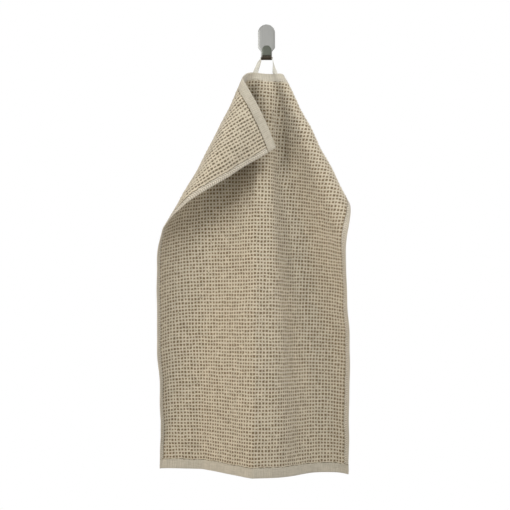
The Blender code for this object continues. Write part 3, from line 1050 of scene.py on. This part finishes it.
@dataclass
class HemStitches:
    """The rows of straight stitches that hold the two hems, on both faces of the cloth.

    Places on the cloth are in centimetres, the thread's thickness and heights in metres. The rows lie
    seam from the cloth's ends and start and stop margin from its sides, with one stitch each pitch. A
    stitch's line starts sunk over the middle surface, a little inside the face, and bows out by rise.
    Its first and last rings lie end_share of its length from its ends.
    """

    shape: HangingShape
    pitch: float = 0.36
    length: float = 0.25
    slant: float = 0.05
    thickness: float = 0.45 * MM
    seam: float = 1.62
    sunk: float = 0.75 * MM
    rise: float = 0.35 * MM
    margin: float = 0.35
    end_share: float = 0.04
    rings: int = 5
    sides: int = 6

    def build(self) -> bpy.types.Object:
        """All the stitches as one piece.

        Each is a bowed tube that tapers to its ends: its line rises as a half sine from the cloth and
        its radius is the square root of the same half sine.

        Returns:
            The piece.
        """
        starts = np.arange(self.margin, self.shape.width - self.margin, self.pitch)
        share = np.linspace(self.end_share, 1.0 - self.end_share, self.rings)
        around = np.arange(self.sides) * TURN / self.sides
        bow = np.sin(math.pi * share)
        rows = np.array([self.seam, self.shape.length - self.seam])
        side = np.array([face.value for face in Face])

        # Axes: row, face, stitch, ring, side of the tube.
        u = (starts[:, None] + self.length * share)[None, None, :, :, None]
        v = (rows[:, None] + self.slant * (share - 0.5)[None, :])[:, None, None, :, None]
        out = -side[None, :, None, None, None]
        radius = (self.thickness / 2.0 * np.sqrt(bow))[None, None, None, :, None]
        lift = out * (self.sunk + self.rise * bow[None, None, None, :, None] + radius * np.cos(around))
        sway = radius * np.sin(around) / CM * out
        u, v, lift = np.broadcast_arrays(u, v + sway, lift)
        points = self.shape.at(u, v, lift)

        index = numbered(points).reshape(-1, self.rings, self.sides)
        ring = closed(index)
        tube = np.stack([ring[:, :-1, :-1], ring[:, :-1, 1:], ring[:, 1:, 1:], ring[:, 1:, :-1]], axis=-1)
        caps = np.stack([index[:, 0, ::-1], index[:, -1]], axis=1)
        halves = np.concatenate([caps[..., [0, 1, 2, 3]], caps[..., [0, 3, 4, 5]]], axis=1)
        faces = np.concatenate([tube.reshape(-1, 4), halves.reshape(-1, 4)])
        return new_piece("hem_stitches", points, faces, SewingThread().material())


# ---- Hanging loop -------------------------------------------------------------------------------


class LegTurn(NamedTuple):
    """How far up a leg of the loop, and the share of its quarter twist that it has made there."""

    height: float
    share: float


@dataclass
class HangingLoop:
    """A flat woven tape: sewn to the back of the hem, up beside the hook, over its floor and down again.

    Sizes are in metres, and left_u and right_u are where its ends are sewn on, in centimetres. The
    crown reaches over crown_reach of the strip's half width. Along its length the tape has samples
    rows a span, and across it columns points on each face, whose thickness falls off by edge.
    """

    shape: HangingShape
    hook: "SteelHook"
    width: float = 8.0 * MM
    thickness: float = 0.9 * MM
    depth_on_hook: float = -1.85 * CM
    sewn_length: float = 1.2 * CM
    left_u: float = 19.4
    right_u: float = 22.8
    seat_gap: float = 0.15 * MM
    sewn_gap: float = 0.15 * MM
    crown_reach: float = 0.93
    left_leg: tuple[LegTurn, ...] = (LegTurn(height=0.35, share=0.15), LegTurn(height=0.75, share=0.6))
    right_leg: tuple[LegTurn, ...] = (LegTurn(height=0.15, share=0.4), LegTurn(height=0.6, share=0.8))
    samples: int = 10
    edge: float = 0.9
    columns: int = 7

    def sewn(self, u: float, down_hem: float) -> Array:
        """Three points across the tape where it lies on the back of the hem.

        Args:
            u: the place of the tape's middle, in centimetres.
            down_hem: how far below the cloth's edge, in metres.

        Returns:
            The points, one row each.
        """
        across = u + np.array([-1.0, 0.0, 1.0]) * self.width / 2.0 / CM
        back = -(self.shape.thickness / 2.0 * CM + self.sewn_gap + self.thickness / 2.0)
        return self.shape.at(across, np.full(3, down_hem / CM), back)

    def across(self, centre: Array, direction: Array) -> Array:
        """Three points across the free tape at this centre."""
        half = self.width / 2.0 * unit(direction)
        return np.array([centre - half, centre, centre + half])

    def leg(self, side: Side) -> list[Array]:
        """One leg, from its sewn end up to the hook's edge.

        Args:
            side: which leg.

        Returns:
            Rows of three points across the tape.
        """
        u, turns = (self.left_u, self.left_leg) if side is Side.LEFT else (self.right_u, self.right_leg)
        sewn = [self.sewn(u, down)[:: side.value] for down in (self.sewn_length, self.sewn_length / 2.0, 0.0)]
        top = sewn[-1]
        along_hem = (top[2] - top[0]) / self.width
        backwards = np.array([0.0, 1.0, 0.0])
        beside = side.value * (self.hook.strip_width / 2.0 + self.seat_gap + self.thickness / 2.0)
        shoulder = np.array([beside, self.depth_on_hook, self.hook.bottom + self.hook.thickness / 3.0])
        rise, twist = shoulder - top[1], backwards - along_hem
        free = [
            self.across(top[1] + rise * turn.height, along_hem + twist * turn.share) for turn in turns
        ]
        return [*sewn, *free, self.across(shoulder, backwards)]

    def build(self) -> bpy.types.Object:
        """The tape's mesh.

        Its rows follow a smooth curve through the legs and the crown. Across the tape a parabola
        passes through each row's three points. Along the normal the faces stand off by half the
        thickness times the fourth root of one less edge times the fourth power of the place across.

        Returns:
            The piece.
        """
        floor = self.hook.bottom + self.hook.thickness + self.seat_gap + self.thickness / 2.0
        reach = self.hook.strip_width / 2.0 * self.crown_reach
        backwards = np.array([0.0, 1.0, 0.0])
        tops = (np.array([x, self.depth_on_hook, floor]) for x in (-reach, 0.0, reach))
        crown = [self.across(top, backwards) for top in tops]
        rows = np.array([*self.leg(Side.LEFT), *crown, *reversed(self.leg(Side.RIGHT))])
        path = smooth_path(rows.reshape(len(rows), -1), self.samples).reshape(-1, 3, 3)

        place = np.sin(np.linspace(-0.5, 0.5, self.columns) * math.pi)
        weights = np.stack([place * (place - 1) / 2, 1 - place**2, place * (place + 1) / 2])
        flat = np.einsum("rpx,pc->rcx", path, weights)
        along = np.gradient(flat, axis=0)
        width_way = (path[:, 2] - path[:, 0])[:, None]
        normal = unit(np.cross(width_way, along))
        bulge = self.thickness / 2.0 * (1.0 - place**4 * self.edge) ** 0.25
        upper = flat + normal * bulge[:, None]
        lower = flat - normal * bulge[:, None]
        ring = np.concatenate([upper, lower[:, ::-1]], axis=1)

        index = numbered(ring)
        sides = grid_faces(closed(index)).reshape(-1, 4)
        half = self.columns
        ends = [
            np.stack([row[: half - 1], row[1:half], row[-2 : half - 1 : -1], row[:half:-1]], axis=-1)
            for row in (index[0], index[-1])
        ]
        faces = np.concatenate([sides, ends[0], ends[1][:, ::-1]])[:, ::-1]
        piece = new_piece("tape_loop", ring, faces, CottonTape().material())

        steps = np.linalg.norm(np.diff(path[:, 1], axis=0), axis=1)
        cloth = np.empty(ring.shape[:2] + (2,))
        cloth[..., 0] = np.concatenate([place, place[::-1]]) * self.width / 2.0
        cloth[..., 1] = np.concatenate([[0.0], np.cumsum(steps)])[:, None]
        lay_flat(piece.data, cloth)
        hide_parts("hanging_loop")
        return piece


# ---- Hook ---------------------------------------------------------------------------------------


@dataclass
class SteelHook:
    """One strip of steel: an upright round-topped plate, narrowed, bent forward and up into a prong.

    Sizes are in metres. The strip is drawn flat first, its length w running down from the plate's
    top, and then bent. round_steps, shoulder_steps and bend_steps are the outline's points round each
    end, down the shoulder and along the bends, and fine_steps those the bent line is worked out on.
    """

    plate_width: float = 3.0 * CM
    top: float = 2.4 * CM
    shoulder: float = -1.6 * CM
    neck: float = -2.5 * CM
    bottom: float = -3.95 * CM
    strip_width: float = 1.95 * CM
    prong_width: float = 1.6 * CM
    prong_tip: float = -1.85 * CM
    depth: float = 3.0 * CM
    thickness: float = 1.5 * MM
    bend_radius: float = 5.5 * MM
    edge_radius: float = 0.35 * MM
    edge_steps: int = 3
    face_columns: int = 7
    round_steps: int = 17
    shoulder_steps: int = 15
    bend_steps: int = 31
    fine_steps: int = 4001

    def stops(self) -> Array:
        """Where the outer line turns from a straight to a bend or back, from the plate's top.

        Returns:
            The plate's top, the ends of the first bend, those of the second, and the prong's tip.
        """
        down = self.top - self.bottom - self.bend_radius
        quarter = self.bend_radius * math.pi / 2.0
        forward = self.depth - 2.0 * self.bend_radius
        up = self.prong_tip - self.bottom - self.bend_radius
        return np.cumsum([0.0, down, quarter, forward, quarter, up])

    def bent(self, w: Array, height: Array) -> Array:
        """Where the strip's flat points come to lie in the (y, z) plane.

        The outer line turns from straight down by a quarter circle to straight forward, and by
        another to straight up. Points above it stand off to the inside of the bends.

        Args:
            w: places along the outer line from the plate's top.
            height: how far above the outer line.

        Returns:
            (y, z) of each point.
        """
        stops = self.stops()
        fine = np.linspace(0.0, stops[-1], self.fine_steps)
        angle = np.interp(fine, stops, np.radians([0.0, 0.0, 90.0, 90.0, 180.0, 180.0]))
        step = fine[1]
        y = -running_sum(np.sin(angle)[:, None], step)[:, 0]
        z = self.top - running_sum(np.cos(angle)[:, None], step)[:, 0]
        turn = np.interp(w, fine, angle)
        bent_y = np.interp(w, fine, y) - height * np.cos(turn)
        bent_z = np.interp(w, fine, z) + height * np.sin(turn)
        return np.stack([bent_y, bent_z])

    def outline(self) -> tuple[Array, Array]:
        """Half the flat strip's outline, from the plate's top to the prong's tip, as (half width, w).

        A quarter circle, a straight side, a smoothstep shoulder, a straight neck, a taper over the
        floor and a quarter circle at the tip.

        Returns:
            The points and their outward normals.
        """
        plate, neck, tip = self.plate_width / 2.0, self.strip_width / 2.0, self.prong_width / 2.0
        _, first_start, first_end, second_start, second_end, end = self.stops()
        round_top = np.radians(np.linspace(0.0, 90.0, self.round_steps))
        share = np.linspace(0.0, 1.0, self.shoulder_steps)
        bends = np.linspace(first_start, second_end, self.bend_steps)
        taper = np.clip((bends - first_end) / (second_start - first_end), 0.0, 1.0)
        half = np.concatenate(
            [
                plate * np.sin(round_top),
                plate + (neck - plate) * smoothstep(share),
                neck + (tip - neck) * taper,
                tip * np.cos(round_top),
            ]
        )
        w = np.concatenate(
            [
                plate * (1 - np.cos(round_top)),
                self.top - self.shoulder + (self.shoulder - self.neck) * share,
                bends,
                end - tip + tip * np.sin(round_top),
            ]
        )
        points = np.stack([half, w], axis=-1)
        slope = unit(np.gradient(points, axis=0))
        slope[0], slope[-1] = (1.0, 0.0), (-1.0, 0.0)
        return points, np.stack([slope[:, 1], -slope[:, 0]], axis=-1)

    def build(self) -> bpy.types.Object:
        """The hook's mesh: a closed section with rounded edges carried along the outline.

        The section goes across the room side, round the right edge, back across the far side and
        round the left edge. Each edge step lies inside the outline by the edge radius times one less
        the sine, and below the face by the edge radius times one less the cosine, of a quarter turn.

        Returns:
            The piece.
        """
        points, normals = self.outline()
        bend = np.radians(np.linspace(0.0, 90.0, self.edge_steps + 1))
        inset = self.edge_radius * (1 - np.sin(bend))
        dip = self.edge_radius * (1 - np.cos(bend))
        face = np.linspace(-1.0, 1.0, self.face_columns)[1:-1]

        share = np.concatenate([face, np.ones(2 * len(bend))])
        shrink = np.concatenate([np.full(len(face), self.edge_radius), inset, inset[::-1]])
        rise = np.concatenate([np.full(len(face), self.thickness), self.thickness - dip, dip[::-1]])
        share = np.concatenate([share, -share])
        shrink = np.tile(shrink, 2)
        rise = np.concatenate([rise, self.thickness - rise])
        flat = points[:, None] - normals[:, None] * shrink[None, :, None]
        x = flat[..., 0] * share
        x[[0, -1]] = 0.0
        y, z = self.bent(flat[..., 1], np.broadcast_to(rise, x.shape))
        section = np.stack([x, y, z], axis=-1)
        faces = grid_faces(closed(numbered(section)))
        piece = new_piece("bent_steel_hook", section, faces, BrushedSteel().material(self))
        self.weld(piece.data)
        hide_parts("wall_hook")
        return piece

    @staticmethod
    def weld(mesh: bpy.types.Mesh) -> None:
        """Closes the seam at each end, where both sides meet in one line, and turns the faces outward.

        Args:
            mesh: the hook's mesh.
        """
        nearest = 0.01 * MM
        shell = bmesh.new()
        shell.from_mesh(mesh)
        bmesh.ops.remove_doubles(shell, verts=shell.verts, dist=nearest)
        bmesh.ops.recalc_face_normals(shell, faces=shell.faces)
        shell.to_mesh(mesh)
        shell.free()
        mesh.shade_smooth()


# ---- Studio -------------------------------------------------------------------------------------


class SoftBox(NamedTuple):
    """A round soft light: where it stands, in metres, its power in watts and its tint."""

    name: str
    place: tuple[float, float, float]
    power: float
    tint: str = "#FFFFFF"


@dataclass
class Studio:
    """A plain pale floor, soft lights, a surround and the photograph's camera.

    The lights stand above, in front, to both sides and behind. The surround is band_level bright at
    eye level and far_level bright above and below, and changes between the two heights of band_edge,
    as parts of a unit direction. The floor is solid to floor_solid of its radius and gone from
    floor_gone on.
    """

    camera_place: tuple[float, float, float] = (-0.0203, -1.8325, -0.382)
    lens: float = 73.4
    floor_below: float = 1.5
    floor_radius: float = 3.2
    floor_solid: float = 0.5
    floor_gone: float = 0.84
    floor_sides: int = 64
    floor_colour: str = "#DEDDDA"
    band_level: float = 1.0
    far_level: float = 0.1
    band_edge: tuple[float, float] = (0.26, 0.40)
    box_size: float = 0.5
    aim: tuple[float, float, float] = (-0.02, -0.05, -0.30)
    soft_boxes: tuple[SoftBox, ...] = (
        SoftBox("overhead", (0.0, -0.1, 0.8), 3.0),
        SoftBox("overhead right", (0.6, -0.45, 0.8), 3.0),
        SoftBox("high front right", (0.6, -1.0, 0.7), 6.9),
        SoftBox("front left", (-0.6, -1.2, 0.1), 6.6),
        SoftBox("left", (-1.2, -0.4, -0.4), 2.2, "#FFEBD2"),
        SoftBox("low left", (-1.2, -0.8, -0.9), 3.8, "#FFEBD2"),
        SoftBox("right", (1.2, -0.5, -0.5), 2.2, "#FFEBD2"),
        SoftBox("behind", (0.3, 1.2, 0.4), 8.0),
    )

    def build_camera(self) -> None:
        """A level camera that looks along +Y, as in the photograph."""
        data = bpy.data.cameras.new("camera")
        data.lens = self.lens
        data.sensor_width = 36.0
        data.clip_end = 100.0
        camera = bpy.data.objects.new("camera", data)
        camera.location = self.camera_place
        camera.rotation_euler = (math.pi / 2.0, 0.0, 0.0)
        bpy.context.scene.collection.objects.link(camera)
        bpy.context.scene.camera = camera

    def build_floor(self) -> None:
        """A round pale floor that fades out before it would reach the picture's background."""
        ring = np.linspace(0.0, TURN, self.floor_sides, endpoint=False)
        points = np.stack([np.cos(ring), np.sin(ring), np.zeros_like(ring)], axis=-1) * self.floor_radius
        points[:, 2] = -self.floor_below
        mesh = bpy.data.meshes.new("floor")
        mesh.from_pydata(points.tolist(), [], [list(range(self.floor_sides))])
        material, shader = new_material(
            "pale matt floor", {"Base Color": linear(self.floor_colour), "Roughness": 1.0}
        )
        tree = material.node_tree
        place = add_node(tree, "TexCoord", out="Object")
        flat = add_node(tree, "VectorMath", {0: place, 1: (1.0, 1.0, 0.0)}, operation="MULTIPLY")
        far = add_node(tree, "VectorMath", {0: flat}, "Value", operation="LENGTH")
        gone, whole = self.floor_radius * self.floor_gone, self.floor_radius * self.floor_solid
        fade = {0: far, 1: gone, 2: whole, 3: 0.0, 4: 1.0}
        solid = add_node(tree, "MapRange", fade, interpolation_type="SMOOTHSTEP")
        tree.links.new(solid, shader.inputs["Alpha"])
        mesh.materials.append(material)
        floor = bpy.data.objects.new("floor", mesh)
        bpy.context.scene.collection.objects.link(floor)

    def build_light(self) -> None:
        """A surround that is white at eye level and dim above and below, and the soft boxes."""
        scene = bpy.context.scene
        scene.world = bpy.data.worlds.new("white surround")
        scene.world.use_nodes = True
        tree = scene.world.node_tree
        heading = add_node(tree, "TexCoord", out="Generated")
        height = add_node(tree, "SeparateXYZ", {0: heading}, "Z")
        off = add_node(tree, "Math", {0: height}, operation="ABSOLUTE")
        near, beyond = self.band_edge
        levels = {0: off, 1: near, 2: beyond, 3: self.band_level, 4: self.far_level}
        level = add_node(tree, "MapRange", levels, interpolation_type="SMOOTHSTEP")
        tree.links.new(level, tree.nodes["Background"].inputs["Strength"])
        tree.nodes["Background"].inputs["Color"].default_value = (1.0, 1.0, 1.0, 1.0)

        for box in self.soft_boxes:
            data = bpy.data.lights.new(box.name, "AREA")
            data.energy = box.power
            data.color = linear(box.tint)[:3]
            data.shape = "DISK"
            data.size = self.box_size
            lamp = bpy.data.objects.new(box.name, data)
            lamp.location = box.place
            lamp.visible_camera = False
            x, y, z = np.subtract(self.aim, box.place)
            lamp.rotation_euler = (math.atan2(math.hypot(x, y), -z), 0.0, math.atan2(-x, y))
            scene.collection.objects.link(lamp)

        scene.view_settings.view_transform = "Standard"
        scene.view_settings.look = "None"


def main() -> None:
    """Builds the towel, its loop, the hook and the studio in order, and reports each piece."""
    logging.basicConfig(level=logging.INFO, format="%(message)s")
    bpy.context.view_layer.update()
    studio = Studio()
    studio.build_camera()

    hook = SteelHook()
    steel = hook.build()
    shape = HangingShape()
    towel = Towel(shape)
    cloth = towel.build()
    stitches = HemStitches(shape).build()
    tape = HangingLoop(shape, hook).build()
    studio.build_floor()
    studio.build_light()

    for piece in (cloth, stitches, tape, steel):
        piece.data.calc_loop_triangles()
        log.info("%s: %d triangles", piece.name, len(piece.data.loop_triangles))


if __name__ == "__main__":
    main()
